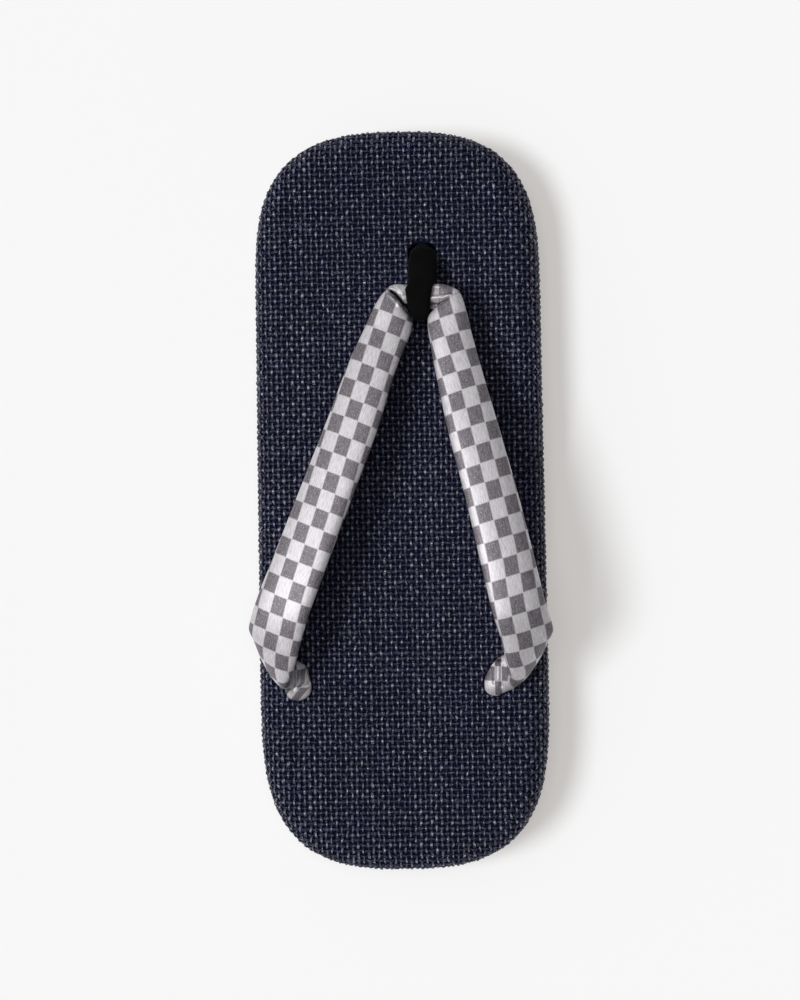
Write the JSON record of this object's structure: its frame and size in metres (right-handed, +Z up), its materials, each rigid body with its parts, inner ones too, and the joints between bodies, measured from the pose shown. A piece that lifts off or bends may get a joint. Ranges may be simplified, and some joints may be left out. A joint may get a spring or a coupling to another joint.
{
  "type": "zori sandal",
  "caption": "Left thonged sandal: woven-covered footbed on a wedge sole, padded checked V strap held by a velvet toe loop",
  "frame": {"origin": "on the ground under the middle of the sole", "axes": "+X towards the inner side of the foot, +Y towards the toe end, +Z up"},
  "size_m": [0.1054, 0.26, 0.0545],
  "materials": {
    "outsole": "black rubber, matte, low ribs from side to side",
    "midsole": "black sponge rubber, matte, fine grain",
    "woven_cover": "navy plain weave of slightly glossy flat yarn",
    "checked_satin": "satin in silver and dark grey checks",
    "velvet": "black velvet, no gloss"
  },
  "bodies": {
    "root": {"outsole": "outsole", "midsole": "midsole", "footbed": "woven_cover", "strap": "checked_satin", "toe_loop": "velvet"}
  },
  "joints": []
}
